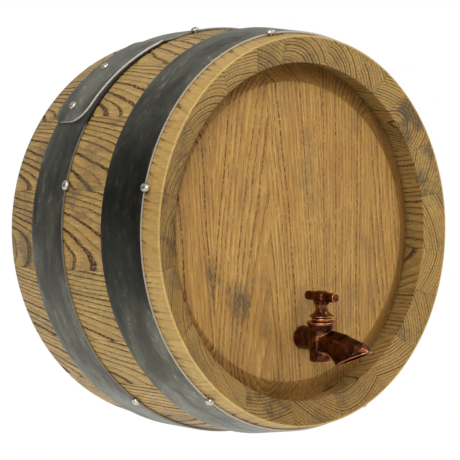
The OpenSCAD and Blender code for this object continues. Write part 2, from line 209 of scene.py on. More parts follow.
def oakMaterial(name, look):
    material, tree, shader = newMaterial(name, specular=0.22)
    log = attribute(tree, "log").outputs["Vector"]
    trait = addNode(tree, "SeparateXYZ", {0: attribute(tree, "trait").outputs["Vector"]})
    tone, weathered, bold = trait.outputs[0], trait.outputs[1], trait.outputs[2]

    bend = noiseField(tree, log, oakSizes["bend"], 1.0)
    bend = vectorMaths(tree, "SUBTRACT", bend.outputs["Color"], (0.5, 0.5, 0.5))
    bend = vectorMaths(tree, "MULTIPLY", bend, (2 * look["bend"], 2 * look["bend"], 0))
    wobble = noiseField(tree, log, oakSizes["wobble"], 3.0)
    wobble = vectorMaths(tree, "SUBTRACT", wobble.outputs["Color"], (0.5, 0.5, 0.5))
    wobble = vectorMaths(tree, "MULTIPLY", wobble, (2 * look["wobble"], 2 * look["wobble"], 0))
    place = vectorMaths(tree, "ADD", vectorMaths(tree, "ADD", log, bend), wobble)
    flat = vectorMaths(tree, "MULTIPLY", place, (1, 1, 0))
    radius = addNode(tree, "VectorMath", {0: flat}, operation="LENGTH").outputs["Value"]
    phase = maths(tree, "DIVIDE", radius, look["ringWidth"])
    ring = maths(tree, "FLOOR", phase)
    share = maths(tree, "FRACT", phase)
    luck = addNode(tree, "TexWhiteNoise", {"W": ring}, noise_dimensions="1D").outputs["Value"]

    # the ring's open pores start sharply and thin out
    width = maths(tree, "MULTIPLY_ADD", luck, 0.3, look["lineShare"] - 0.12)
    fade = maths(tree, "SUBTRACT", 1.0, mapRange(tree, maths(tree, "DIVIDE", share, width), 0.35, 1.0))
    start = mapRange(tree, share, 0.0, 0.05)
    band = maths(tree, "MULTIPLY", fade, start)
    pores = noiseField(tree, place, look["pore"], 1.0).outputs["Fac"]
    poreBand = maths(tree, "MULTIPLY", band, mapRange(tree, pores, 0.42, 0.54, look["poreGap"], 1.0))
    stray = maths(tree, "MULTIPLY", mapRange(tree, pores, 0.66, 0.74), 0.5)
    evened = maths(tree, "MULTIPLY_ADD", luck, 1 - look["even"], look["even"])
    strength = maths(tree, "MULTIPLY", bold, evened)
    line = maths(tree, "MULTIPLY", maths(tree, "MAXIMUM", poreBand, stray), strength, clamp=True)

    fibre = noiseField(tree, log, oakSizes["fibre"], 4.0, 0.7).outputs["Fac"]
    cloud = noiseField(tree, log, oakSizes["cloud"], 2.0).outputs["Fac"]
    streak = maths(tree, "MULTIPLY", mapRange(tree, fibre, 0.36, 0.64), bold, clamp=True)
    colour = mixColour(tree, streak, look["ground"], look["groundDeep"])
    shadow = maths(tree, "MULTIPLY", mapRange(tree, cloud, 0.45, 0.7), look["fibre"])
    colour = mixColour(tree, shadow, colour, look["late"])
    lateBold = maths(tree, "MULTIPLY", bold, look["lateShare"])
    late = maths(tree, "MULTIPLY", mapRange(tree, share, 0.45, 1.0), lateBold)
    colour = mixColour(tree, late, colour, look["late"])
    colour = mixColour(tree, line, colour, look["line"])

    # weathered wood greys in patches, finely speckled, and darker wood turns brown
    spots = noiseField(tree, log, oakSizes["spots"], 4.0, 0.65).outputs["Fac"]
    speck = noiseField(tree, log, oakSizes["speck"], 2.0).outputs["Fac"]
    reached = maths(tree, "MULTIPLY_ADD", weathered, 0.08, spots)
    greyed = maths(tree, "MULTIPLY", mapRange(tree, reached, 0.53, 0.70), weathered)
    greyed = maths(tree, "MULTIPLY", greyed, mapRange(tree, speck, 0.35, 0.6, 0.35, 0.9))
    colour = mixColour(tree, greyed, colour, look["grey"])
    grain = noiseField(tree, log, oakSizes["grain"], 2.0, 0.7).outputs["Fac"]
    value = maths(tree, "MULTIPLY", tone, mapRange(tree, grain, 0.34, 0.66, 0.91, 1.08))
    browned = maths(tree, "MULTIPLY_ADD", tone, -3.0, 3.0, clamp=True)
    colour = mixColour(tree, browned, colour, look["brown"], blend="MULTIPLY")
    toned = addNode(tree, "HueSaturation", {"Value": value, "Color": colour})
    tree.links.new(toned.outputs[0], shader.inputs["Base Color"])

    rough = maths(tree, "MULTIPLY_ADD", line, 0.2, maths(tree, "MULTIPLY_ADD", fibre, 0.15, 0.42))
    tree.links.new(rough, shader.inputs["Roughness"])
    relief = maths(tree, "MULTIPLY_ADD", fibre, 0.12, maths(tree, "SUBTRACT", 1.0, line))
    bump(tree, shader, relief, look["lineDepth"], 0.8)
    return material


# how a board was cut: how its rings lie to its face, in degrees, how far off the pith is,
# and how the pith runs off along the board, in and across
def sawn(piece, placeOf, face, pith, rise, drift, tone=1.0, weathered=0.3, traitOf=None):
    mesh = piece.data
    for name in ("log", "trait"):
        mesh.attributes.new(name, "FLOAT_VECTOR", "POINT")
    log = mesh.attributes["log"]
    trait = mesh.attributes["trait"]
    side = pith * math.sin(math.radians(face))
    under = pith * math.cos(math.radians(face))
    apart = chance.uniform(0, 4)
    for index, vertex in enumerate(mesh.vertices):
        across, deep, along = placeOf(vertex.co)
        log.data[index].vector = (across + side + drift * along, deep + under + rise * along,
                                  along + apart)
        shade, bold, aged = traitOf(vertex.co) if traitOf else (1.0, 1.0, 1.0)
        trait.data[index].vector = (tone * shade, weathered * aged, bold)


ironLook = {"dark": rgb(50, 49, 41), "mid": rgb(83, 82, 71), "pale": rgb(146, 145, 130),
            "edge": rgb(246, 236, 224)}


def ironMaterial():
    # "band" runs along and across the strip, the wear attribute is 1 on its cut edges, which also
    # carry a painted highlight, and the painted reflection is how light the iron is painted for what
    # it would reflect: dark where it faces the room's dark side, lighter low down and on the lap
    material, tree, shader = newMaterial("hoopIron", metallic=0.75)
    band = attribute(tree, "band").outputs["Vector"]
    wearAndHighlight = attribute(tree, "wearAndHighlight").outputs["Fac"]
    cloud = noiseField(tree, band, (0.07, 0.03, 0.03), 4.0, 0.6).outputs["Fac"]
    mottle = noiseField(tree, band, (0.011, 0.006, 0.006), 5.0, 0.7).outputs["Fac"]
    scratch = noiseField(tree, band, (0.03, 0.0007, 0.001), 2.0).outputs["Fac"]
    colour = mixColour(tree, mapRange(tree, cloud, 0.35, 0.68), ironLook["dark"], ironLook["mid"])
    pale = maths(tree, "MULTIPLY", mapRange(tree, mottle, 0.52, 0.74), mapRange(tree, cloud, 0.4, 0.6))
    paintedReflection = attribute(tree, "paintedReflection").outputs["Fac"]
    scratched = maths(tree, "MULTIPLY", mapRange(tree, scratch, 0.7, 0.84),
                      mapRange(tree, paintedReflection, 0.5, 2.0, 0.05, 0.35))
    pale = maths(tree, "MAXIMUM", pale, scratched)
    colour = mixColour(tree, maths(tree, "MULTIPLY", pale, 0.6), colour, ironLook["pale"])
    # painted reflection: the iron's value follows what it would reflect round the barrel
    colour = addNode(tree, "HueSaturation", {"Value": paintedReflection, "Color": colour}).outputs[0]
    # worn cut edges, painted near white: wear with a painted highlight on it
    rubbedAndHighlit = maths(tree, "MULTIPLY", wearAndHighlight, mapRange(tree, mottle, 0.35, 0.6, 0.25, 0.9))
    colour = mixColour(tree, rubbedAndHighlit, colour, ironLook["edge"])
    tree.links.new(colour, shader.inputs["Base Color"])
    rough = mapRange(tree, mottle, 0.3, 0.7, 0.36, 0.52)
    tree.links.new(maths(tree, "MULTIPLY_ADD", wearAndHighlight, -0.14, rough), shader.inputs["Roughness"])
    tree.links.new(maths(tree, "MULTIPLY_ADD", wearAndHighlight, -0.5, 0.75), shader.inputs["Metallic"])
    bump(tree, shader, mottle, 0.25 * mm, 0.5)
    return material


def metalMaterial(name, base, second, roughness, grain):
    material, tree, shader = newMaterial(name, metallic=1.0)
    place = addNode(tree, "TexCoord").outputs["Object"]
    cloud = noiseField(tree, place, (grain,) * 3, 4.0, 0.6).outputs["Fac"]
    colour = mixColour(tree, mapRange(tree, cloud, 0.35, 0.68), base, second)
    tree.links.new(colour, shader.inputs["Base Color"])
    rough = mapRange(tree, cloud, 0.3, 0.7, roughness, roughness + 0.18)
    tree.links.new(rough, shader.inputs["Roughness"])
    bump(tree, shader, cloud, 0.1 * mm, 0.4)
    return material


copperLook = {"brown": rgb(104, 58, 40), "black": rgb(46, 27, 22), "bright": rgb(222, 142, 84)}


def copperMaterial():
    # the wear attribute holds how much hands and cloths have rubbed each place, together with painted
    # highlights
    material, tree, shader = newMaterial("agedCopper", metallic=1.0)
    place = addNode(tree, "TexCoord").outputs["Object"]
    wearAndHighlight = attribute(tree, "wearAndHighlight").outputs["Fac"]
    cloud = noiseField(tree, place, (0.009,) * 3, 4.0, 0.6).outputs["Fac"]
    fine = noiseField(tree, place, (0.0016,) * 3, 3.0, 0.6).outputs["Fac"]
    browned = mapRange(tree, cloud, 0.35, 0.66)
    colour = mixColour(tree, browned, copperLook["black"], copperLook["brown"])
    # rubbed places and painted highlights turn bright copper
    rubbedAndHighlit = mapRange(tree, maths(tree, "MULTIPLY_ADD", cloud, 0.7, wearAndHighlight), 0.58, 1.35)
    colour = mixColour(tree, rubbedAndHighlit, colour, copperLook["bright"])
    tree.links.new(colour, shader.inputs["Base Color"])
    rough = mapRange(tree, fine, 0.3, 0.7, 0.22, 0.4)
    tree.links.new(rough, shader.inputs["Roughness"])
    bump(tree, shader, maths(tree, "MULTIPLY_ADD", cloud, 2.0, fine), 0.12 * mm, 0.6)
    return material


def leatherMaterial():
    material, tree, shader = newMaterial("gasketLeather", roughness=0.7)
    place = addNode(tree, "TexCoord").outputs["Object"]
    cells = addNode(tree, "Mapping", {"Vector": place, "Scale": (1500,) * 3})
    pebble = addNode(tree, "TexVoronoi", {"Vector": cells.outputs[0], "Scale": 1.0})
    colour = mixColour(tree, mapRange(tree, pebble.outputs["Distance"], 0.1, 0.6),
                       rgb(48, 26, 16), rgb(82, 50, 30))
    tree.links.new(colour, shader.inputs["Base Color"])
    bump(tree, shader, pebble.outputs["Distance"], 0.15 * mm)
    return material


staveOak = oakMaterial("staveOak", oakLook)
headLook = {**oakLook, "ground": rgb(192, 154, 86), "groundDeep": rgb(168, 127, 66),
            "late": rgb(150, 108, 58), "line": rgb(96, 60, 30), "grey": rgb(108, 92, 66),
            "ringWidth": 3.5 * mm, "lineShare": 0.36, "lateShare": 0.4, "poreGap": 0.05,
            "bend": 10 * mm, "pore": (0.9 * mm, 0.9 * mm, 4.5 * mm), "even": 0.15, "fibre": 0.4,
            "lineDepth": 0.6 * mm}
headOak = oakMaterial("headOak", headLook)
hoopIron = ironMaterial()
brightSteel = metalMaterial("brightSteel", rgb(214, 210, 200), rgb(148, 142, 130), 0.22, 3 * mm)
plainSteel = metalMaterial("plainSteel", rgb(170, 172, 174), rgb(140, 140, 140), 0.34, 3 * mm)
agedCopper = copperMaterial()
leather = leatherMaterial()
print("materials made")


def newPiece(name, shape, material, body="barrel", replaced=(), sharp=32):
    bmesh.ops.recalc_face_normals(shape, faces=shape.faces)
    mesh = bpy.data.meshes.new(name)
    shape.to_mesh(mesh)
    shape.free()
    mesh.shade_smooth()
    mesh.set_sharp_from_angle(angle=math.radians(sharp))
    mesh.materials.append(material)
    piece = bpy.data.objects.new(name, mesh)
    bpy.context.scene.collection.objects.link(piece)
    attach(piece, body)
    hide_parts(*replaced)
    return piece


def sharpEdges(shape, degrees):
    limit = math.radians(degrees)
    return [edge for edge in shape.edges
            if len(edge.link_faces) == 2 and edge.calc_face_angle(0) > limit]


def easeEdges(shape, edges, offset, segments=2):
    bmesh.ops.bevel(shape, geom=edges, offset=offset, affect="EDGES", segments=segments,
                    profile=0.5, material=-1, clamp_overlap=True)


def lathe(outline, steps, axis=(0, 0, 1), place=(0, 0, 0)):
    # outline is a list of (radius, height); it turns about Z, which then points along axis
    shape = bmesh.new()
    points = [shape.verts.new((radius, 0, height)) for radius, height in outline]
    edges = [shape.edges.new(pair) for pair in zip(points, points[1:])]
    bmesh.ops.spin(shape, geom=points + edges, cent=(0, 0, 0), axis=(0, 0, 1),
                   angle=2 * math.pi, steps=steps, use_merge=True)
    bmesh.ops.remove_doubles(shape, verts=shape.verts, dist=1e-6)
    turn = Vector((0, 0, 1)).rotation_difference(Vector(axis)).to_matrix().to_4x4()
    bmesh.ops.transform(shape, matrix=Matrix.Translation(place) @ turn, verts=shape.verts)
    bmesh.ops.recalc_face_normals(shape, faces=shape.faces)
    return shape


def addShape(whole, part):
    mesh = bpy.data.meshes.new("part")
    part.to_mesh(mesh)
    part.free()
    whole.from_mesh(mesh)
    bpy.data.meshes.remove(mesh)


stave = {
    "arcSteps": 22,
    "turnStep": 1.25,          # degrees
    "gap": 0.03 * mm,          # between a joint and the stave's side
    "arris": 1.1 * mm,         # rounding of the rim's outer edge
    "joint": 0.45 * mm,        # rounding of the other edges
    "grooveFront": 213.7 * mm,
    "grooveBack": 207.3 * mm,
    "grooveDeep": 6 * mm,
    "smoothFront": 21 * mm,    # the turned strip in front of the front hoop
    "rimLine": 2.2 * mm,       # a row this far behind the rim, so that its tone stays narrow
    "insideSteps": 18,
    "skin": 1.5 * mm,          # how near a surface a point still counts as on it
    "chimeShadedAt": 228,         # degrees round the chime where its painted shade is darkest
    "chimeLitAt": 320,           # and where painted light makes it palest
}


def staveOutline():
    bevelAt = depth - barrel["rimBevel"]
    front = stave["grooveFront"]
    back = stave["grooveBack"]
    grooveRadius = innerRadius(front) + stave["grooveDeep"]
    outline = []
    for step in range(stave["arcSteps"] + 1):
        height = depth * step / stave["arcSteps"]
        outline.append((outerRadius(height), height))
    rimLine = depth - stave["rimLine"]
    outline.insert(-1, (outerRadius(rimLine), rimLine))
    rim = Vector(outline[-1])
    inner = Vector((innerRadius(bevelAt), bevelAt))
    outline += [tuple(rim.lerp(inner, share)) for share in (0.08, 0.36, 0.68, 1)]
    for share in (0.25, 0.5, 0.75, 1):
        height = bevelAt + (front - bevelAt) * share
        outline.append((innerRadius(height), height))
    outline += [(grooveRadius, front), (grooveRadius, back)]
    for step in range(stave["insideSteps"], -1, -1):
        height = back * step / stave["insideSteps"]
        outline.append((innerRadius(height), height))
    return outline


def angleSpan(node):
    angles = [angleOf(v.co) for v in frame["nodes"][node].data.vertices]
    middle = math.atan2(sum(map(math.sin, angles)), sum(map(math.cos, angles)))
    offsets = [(angle - middle + math.pi) % (2 * math.pi) - math.pi for angle in angles]
    return middle + min(offsets), middle + max(offsets)


# face, pith, rise and drift of each stave, as sawn() takes them, and its tone and weathering; staves
# 13 to 17, round the lower left, also have painted light in these: 13 and 14 lighter and greyer, 16
# and 17 darker
staveCuts = [
    (44, 0.055, 0.10, 0.00, 1.00, 0.4), (24, 0.14, 0.06, 0.05, 0.96, 0.4),
    (-18, 0.11, 0.09, -0.03, 1.03, 0.3), (5, 0.07, -0.11, 0.02, 0.96, 0.9),
    (30, 0.16, 0.05, 0.04, 1.02, 0.9), (-26, 0.15, 0.07, 0.06, 1.04, 0.5),
    (12, 0.08, 0.12, 0.00, 1.02, 0.3), (-34, 0.18, 0.06, -0.05, 0.97, 0.8),
    (20, 0.12, 0.09, 0.03, 1.02, 0.3), (-6, 0.07, 0.12, -0.02, 0.98, 0.6),
    (28, 0.15, -0.06, 0.06, 0.98, 0.5), (-22, 0.13, 0.07, 0.02, 1.04, 0.8),
    (32, 0.085, 0.10, 0.00, 1.16, 0.5), (24, 0.062, 0.13, 0.03, 1.12, 0.4),
    (40, 0.072, 0.12, 0.01, 1.00, 0.5), (26, 0.050, 0.13, 0.03, 0.89, 0.9),
    (36, 0.060, 0.13, 0.01, 0.91, 0.7), (42, 0.056, 0.12, -0.01, 0.97, 0.4),
    (8, 0.065, 0.10, 0.04, 1.02, 0.3), (50, 0.058, 0.12, 0.02, 0.97, 0.5),
    (36, 0.052, 0.10, 0.00, 0.98, 0.4)]


def makeStave(number, outline, cut):
    node = f"stave_{number:02d}"
    low, high = angleSpan(node)
    play = stave["gap"] / outerRadius(depth / 2)
    low, high = low + play, high - play
    middle = (low + high) / 2
    shape = bmesh.new()
    points = [shape.verts.new(onBarrel(radius, low, height)) for radius, height in outline]
    face = shape.faces.new(points)
    steps = math.ceil(math.degrees(high - low) / stave["turnStep"])
    bmesh.ops.spin(shape, geom=points + face.edges[:] + [face], cent=(0, 0, 0),
                   axis=(0, 1, 0), angle=high - low, steps=steps)
    bmesh.ops.recalc_face_normals(shape, faces=shape.faces)
    rim = [e for e in sharpEdges(shape, 25) if all(v.co.y < 1e-6 - depth for v in e.verts)]
    easeEdges(shape, rim, stave["arris"], 3)
    easeEdges(shape, sharpEdges(shape, 40), stave["joint"])
    piece = newPiece(f"{node}_wood", shape, staveOak, replaced=[node])

    def placeOf(point):
        turned = angleOf(point) - middle
        radius = math.hypot(point.x, point.z)
        return (radius * math.sin(turned), radius * math.cos(turned) - outerRadius(-point.y),
                arcRadius * lean(-point.y))

    def traitOf(point):
        # how light each part of the stave is, how bold its rings and how weathered: the turned
        # strip at the rim is calm, the chime's end grain darker, with painted shade round its lower
        # left and painted light at its upper left, the inside darker with painted shade, the arris
        # between them rubbed
        height = -point.y
        radius = math.hypot(point.x, point.z)
        skin = stave["skin"]
        if height > depth - skin and radius > barrel["rimRadius"] - skin:
            return 1.06, 0.2, 0.0
        if radius > outerRadius(height) - skin:
            return (0.9, 0.3, 0.3) if height > depth - stave["smoothFront"] else (1.0, 1.85, 1.0)
        if height > depth - barrel["rimBevel"] - 0.5 * mm:
            # painted shade and painted light on the chime, by where it faces round the barrel, on top
            # of its darker end grain
            paintedShade = max(0, math.cos(angleOf(point) - math.radians(stave["chimeShadedAt"])))
            paintedLight = math.cos(angleOf(point) - math.radians(stave["chimeLitAt"]))
            return 0.86 + 0.06 * paintedLight - 0.14 * paintedShade, 1.2, 1.3
        # the inside is set darker: painted shade, as on the recessed wall in front of the head
        return 0.87, 1.2, 0.7

    sawn(piece, placeOf, *cut[:4], tone=cut[4], weathered=cut[5], traitOf=traitOf)


sideOutline = staveOutline()
for number, cut in enumerate(staveCuts, 1):
    makeStave(number, sideOutline, cut)
print("staves made")


head = {
    "bevelWidth": 28.6 * mm,
    "bevelDrop": 13.6 * mm,
    "tongue": 5.8 * mm,
    "backBevel": 12 * mm,
    "joint": 0.15 * mm,
    "arris": 1.2 * mm,
    "patch": 12 * mm,       # how finely the face is divided, to carry its stain
    "patchSteps": 16,       # cuts to each side of the middle
    "patchFrom": 0.37,      # keeps the patches' edges off the boards' joints
    "turns": 240,
    "darkest": (245, 28),   # degrees round the bevel where its painted shade is darkest
}
# a grey smear on the face: its middle, its reach along and across, its turn in degrees and
# how strong it is
stain = {"at": (-88 * mm, -82 * mm), "long": 60 * mm, "wide": 17 * mm, "turn": 38, "grey": 3.6}
# as staveCuts has them
boardCuts = [
    (34, 0.13, 0.02, 0.03, 0.97, 0.5), (-28, 0.11, 0.06, -0.05, 1.00, 0.35),
    (44, 0.14, 0.04, 0.04, 1.01, 0.5), (-40, 0.16, 0.02, 0.02, 1.00, 0.4),
    (32, 0.12, 0.05, -0.03, 1.00, 0.35)]


def makeHead():
    face = -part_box("head_board_3")[0].y
    back = -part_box("head_board_3")[1].y
    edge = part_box("head_board_5")[1].x
    wallAt = innerRadius(face - head["bevelDrop"])
    tongueFront = face - head["bevelDrop"]
    tongueBack = tongueFront - head["tongue"]
    profile = [(0, face), (wallAt - head["bevelWidth"], face), (wallAt, tongueFront),
               (edge, tongueFront), (edge, tongueBack), (wallAt, tongueBack),
               (wallAt - head["backBevel"], back), (0, back)]
    disc = lathe(profile, head["turns"], axis=(0, -1, 0))
    bmesh.ops.dissolve_limit(disc, angle_limit=math.radians(0.4), verts=disc.verts, edges=disc.edges)
    rim = [e for e in sharpEdges(disc, 15) if all(abs(-v.co.y - face) < 1e-6 for v in e.verts)]
    easeEdges(disc, rim, head["arris"], 3)
    for axis in (Vector((1, 0, 0)), Vector((0, 0, 1))):
        for step in range(-head["patchSteps"], head["patchSteps"] + 1):
            geom = disc.verts[:] + disc.edges[:] + disc.faces[:]
            place = axis * (step + head["patchFrom"]) * head["patch"]
            bmesh.ops.bisect_plane(disc, geom=geom, plane_co=place, plane_no=axis)

    def traitOf(point):
        # the face has a smear; the bevel shows the boards' end grain, which is darker, and painted
        # shade deepens it towards its lower left and top right
        if math.hypot(point.x, point.z) < wallAt - head["bevelWidth"]:
            turn = math.radians(stain["turn"])
            right, up = point.x - stain["at"][0], point.z - stain["at"][1]
            along = (right * math.cos(turn) - up * math.sin(turn)) / stain["long"]
            across = (right * math.sin(turn) + up * math.cos(turn)) / stain["wide"]
            grey = stain["grey"] * math.exp(-along ** 2 - across ** 2)
            return 0.9 - 0.03 * grey, 1.2, 1.0 + grey
        # painted shade round the bevel, strongest at the two darkest angles
        paintedShade = max(0, *(math.cos(angleOf(point) - math.radians(at)) for at in head["darkest"]))
        return 0.88 - 0.12 * paintedShade, 1.3 + 0.7 * paintedShade, 1.0

    for number, cut in enumerate(boardCuts, 1):
        node = f"head_board_{number}"
        low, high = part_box(node)
        board = disc.copy()
        for x, side in ((low.x, -1), (high.x, 1)):
            if abs(x) > edge - 1 * mm:
                continue
            geom = board.verts[:] + board.edges[:] + board.faces[:]
            made = bmesh.ops.bisect_plane(board, geom=geom, plane_co=(x, 0, 0),
                                          plane_no=(side, 0, 0), clear_outer=True)
            cutEdges = [e for e in made["geom_cut"] if isinstance(e, bmesh.types.BMEdge)]
            bmesh.ops.edgenet_fill(board, edges=cutEdges)
        joints = [e for e in sharpEdges(board, 40)
                  if any(abs(abs(f.normal.x) - 1) < 1e-4 for f in e.link_faces)]
        easeEdges(board, joints, head["joint"], 1)
        piece = newPiece(f"{node}_wood", board, headOak, replaced=[node])
        middle = (low.x + high.x) / 2
        sawn(piece, lambda p: (p.x - middle, p.y + face, p.z), *cut[:4],
             tone=cut[4], weathered=cut[5], traitOf=traitOf)
    disc.free()


makeHead()
print("head made")


hoop = {
    "thick": 2.4 * mm,
    "play": 0.05 * mm,
    "lift": 2.55 * mm,         # how far the free end stands off the strip under it
    "lapAngle": 32,
    "stepAngle": 4,
    "endGap": 0.5,             # degrees between the joggle and the end under it
    "rowSteps": (1.2, 0.4, 1.5),  # degrees between rows on the lap, the joggle and the rest
    "skew": 10 * mm,           # how far the free end lies towards the wall
    "lapRound": 22 * mm,
    "columns": 12,
    "cornerRows": 20,          # over the free end's rounded corners
    "edgeRound": 0.35 * mm,
    "cutEdge": (0.02, 0.985),  # the share of the thickness that its worn edge takes, painted bright with a highlight too
    "darkHalf": 12,            # degrees to each side of the darkest place
    "fade": (28, 36),          # degrees over which the dark ends, before and after it
    "underLap": 0.4,           # painted reflection of the end that the lap hides
}
# lapEnd and darkest are angles; the painted reflection holds its darkest value, and the one before and
# after it: dark where the iron would reflect the room's dark side, lighter away from it
hoops = {
    "front_hoop": {"width": 57 * mm, "at": 19.8 * mm, "lapEnd": 120, "darkest": 275,
                   "paintedReflection": (0.34, 2.35, 1.65), "rubbedAndHighlit": 0.85},
    "rear_hoop": {"width": 62 * mm, "at": 142.6 * mm, "lapEnd": 300, "darkest": 285,
                  "paintedReflection": (1.05, 2.1, 2.1), "rubbedAndHighlit": 0.3},
}
# a rivet's places are degrees from the free end and how far off the strip's middle
rivet = {"places": [(4.9, 12.5 * mm), (19.2, 15 * mm)], "radius": 5.3 * mm, "high": 3.6 * mm,
         "shank": 2.5 * mm, "steps": 8, "turns": 36}
# a nail stands with its middle this far past the strip's edge, at these angles
nail = {"radius": 6.0 * mm, "high": 4.0 * mm, "shank": 1.3 * mm, "long": 15 * mm, "past": 1.9 * mm,
        "turns": 14,
        "squash": (0.78, 0.95), "dent": (0.12, 0.15),  # how uneven its head is; dents in mm
        "front_hoop": (35, 97, 159, 221, 283, 345), "rear_hoop": (35, 97, 159, 221, 283, 343)}


def hoopPoint(mid, angle, along, lift):
    # along runs over the iron to the front, lift stands off it
    tilt = lean(mid)
    out = hoop["play"] + lift
    radius = outerRadius(mid) + out * math.cos(tilt) - along * math.sin(tilt)
    return onBarrel(radius, angle, mid + out * math.sin(tilt) + along * math.cos(tilt))


def hoopRows(lapEnd, mid):
    # angles of the strip's rows from the free end round to the end under the lap
    radius = outerRadius(mid)
    corner = math.degrees(hoop["lapRound"] / radius)
    fine = hoop["cornerRows"]
    rows = [lapEnd + corner * (1 - math.cos(math.pi / 2 * step / fine)) for step in range(fine + 1)]
    root = lapEnd + hoop["lapAngle"]
    stops = root, root + hoop["stepAngle"], root + 360 - hoop["endGap"]
    for stop, step in zip(stops, hoop["rowSteps"]):
        count = math.ceil((stop - rows[-1]) / step)
        start = rows[-1]
        rows += [start + (stop - start) * (i + 1) / count for i in range(count)]
    return rows


def makeHoop(name, size):
    mid = depth - size["at"] - size["width"] / 2
    radius = outerRadius(mid)
    tilt = lean(mid)
    lapEnd = size["lapEnd"]
    rows = hoopRows(lapEnd, mid)

    def liftAt(turn):
        past = math.degrees(turn) - hoop["lapAngle"]
        return hoop["lift"] * (1 - smoothStep(past / hoop["stepAngle"]))

    shape = bmesh.new()
    bmesh.ops.create_grid(shape, x_segments=len(rows) - 1, y_segments=hoop["columns"], size=1)
    along = shape.verts.layers.float_vector.new("band")
    for vertex in shape.verts:
        angle = rows[round((vertex.co.x + 1) / 2 * (len(rows) - 1))]
        run = math.radians(angle - lapEnd) * radius
        half = size["width"] / 2
        corner = hoop["lapRound"]
        if run < corner:
            half += math.sqrt(corner ** 2 - (corner - run) ** 2) - corner
        across = vertex.co.y * half
        shift = hoop["skew"] * max(0, 1 - (angle - lapEnd) / hoop["lapAngle"])
        vertex[along] = (run, across, 0)
        vertex.co = hoopPoint(mid, math.radians(angle), across - shift, liftAt(run / radius))
    made = bmesh.ops.extrude_face_region(shape, geom=shape.faces[:])
    for vertex in made["geom"]:
        if isinstance(vertex, bmesh.types.BMVert):
            angle = angleOf(vertex.co)
            out = onBarrel(math.cos(tilt), angle, math.sin(tilt))
            vertex.co += out * hoop["thick"]
            vertex[along] = (vertex[along].x, vertex[along].y, 1)
    bmesh.ops.recalc_face_normals(shape, faces=shape.faces)
    easeEdges(shape, sharpEdges(shape, 50), hoop["edgeRound"], 2)
    piece = newPiece(f"{name}_iron", shape, hoopIron, replaced=[name])
    for kind in ("wearAndHighlight", "paintedReflection"):
        piece.data.attributes.new(kind, "FLOAT", "POINT")
    wearAndHighlight, paintedReflection, band = (piece.data.attributes[kind] for kind in ("wearAndHighlight", "paintedReflection", "band"))
    for index, vertex in enumerate(piece.data.vertices):
        run = band.data[index].vector[0]
        stand = (math.hypot(vertex.co.x, vertex.co.z) - radius) * math.cos(tilt)
        stand += (-vertex.co.y - mid) * math.sin(tilt)
        layer = (stand - hoop["play"] - liftAt(run / radius)) / hoop["thick"]
        onLap = run < math.radians(hoop["lapAngle"]) * radius
        rubbedAndHighlit = 1.0 if onLap else size["rubbedAndHighlit"]
        bottom, top = hoop["cutEdge"]
        wearAndHighlight.data[index].value = rubbedAndHighlit if bottom < layer < top else 0.0
        # painted reflection round the hoop: darkest where it faces the room's dark side, lighter below
        # and on the lap
        angle = math.degrees(angleOf(vertex.co)) % 360
        past = (angle - size["darkest"] + 180) % 360 - 180
        share = smoothStep((abs(past) - hoop["darkHalf"]) / hoop["fade"][0 if past < 0 else 1])
        if onLap:
            share = 1
        low, before, after = size["paintedReflection"]
        high = before if past < 0 else after
        if run > 2 * math.pi * radius:
            # the end under the lap was never rubbed
            wearAndHighlight.data[index].value = 0.0
            share, low = 0, hoop["underLap"]
        paintedReflection.data[index].value = low + (high - low) * share
    return mid


def standOn(mid, angle, along, lift):
    # a matrix that carries Z off the iron at that place
    angle = math.radians(angle)
    tilt = lean(mid)
    out = onBarrel(math.cos(tilt), angle, math.sin(tilt))
    turn = Vector((0, 0, 1)).rotation_difference(out).to_matrix().to_4x4()
    return Matrix.Translation(hoopPoint(mid, angle, along, lift)) @ turn


def makeRivets(name, mid, lapEnd):
    whole = bmesh.new()
    radius, high, shank = rivet["radius"], rivet["high"], rivet["shank"]
    stack = hoop["lift"] + hoop["thick"]
    dome = [(0, -stack), (shank, -stack), (shank, 0), (radius * 0.97, 0), (radius, high * 0.10)]
    for step in range(1, rivet["steps"] + 1):
        turn = math.pi / 2 * step / rivet["steps"]
        dome.append((radius * math.cos(turn) ** 0.85, high * (0.1 + 0.9 * math.sin(turn))))
    dome[-1] = (0, high)
    for back, shift in rivet["places"]:
        part = lathe(dome, rivet["turns"])
        bmesh.ops.transform(part, matrix=standOn(mid, lapEnd + back, -shift, stack), verts=part.verts)
        addShape(whole, part)
    newPiece(f"{name}_rivets_steel", whole, brightSteel, replaced=[f"{name}_rivets"])


def makeNails(name, mid, width):
    whole = bmesh.new()
    radius, high, shank = nail["radius"], nail["high"], nail["shank"]
    tip = hoop["thick"] - nail["long"]
    profile = [(0, tip), (shank * 0.4, tip + 2 * mm), (shank, tip + 4 * mm), (shank, 0),
               (radius * 0.96, 0), (radius, high * 0.25), (radius * 0.82, high * 0.68),
               (radius * 0.45, high * 0.96), (0, high)]
    aside, down = nail["dent"]
    for angle in nail[name]:
        part = lathe(profile, nail["turns"])
        # hammered a little out of round
        squash = Matrix.Diagonal((1, chance.uniform(*nail["squash"]), 1, 1))
        spin = Matrix.Rotation(chance.uniform(0, math.pi), 4, "Z")
        for vertex in part.verts:
            if vertex.co.z > high * 0.3:
                vertex.co.x += chance.uniform(-aside, aside) * mm
                vertex.co.z -= chance.uniform(0, down) * mm
        stand = standOn(mid, angle, width / 2 + nail["past"], hoop["thick"])
        bmesh.ops.transform(part, matrix=stand @ spin @ squash, verts=part.verts)
        addShape(whole, part)
    newPiece(f"{name}_nails_steel", whole, brightSteel,
             replaced=[f"{name}_nails"], sharp=50)


for name, size in hoops.items():
    mid = makeHoop(name, size)
    makeRivets(name, mid, size["lapEnd"])
    makeNails(name, mid, size["width"])
print("hoops made")


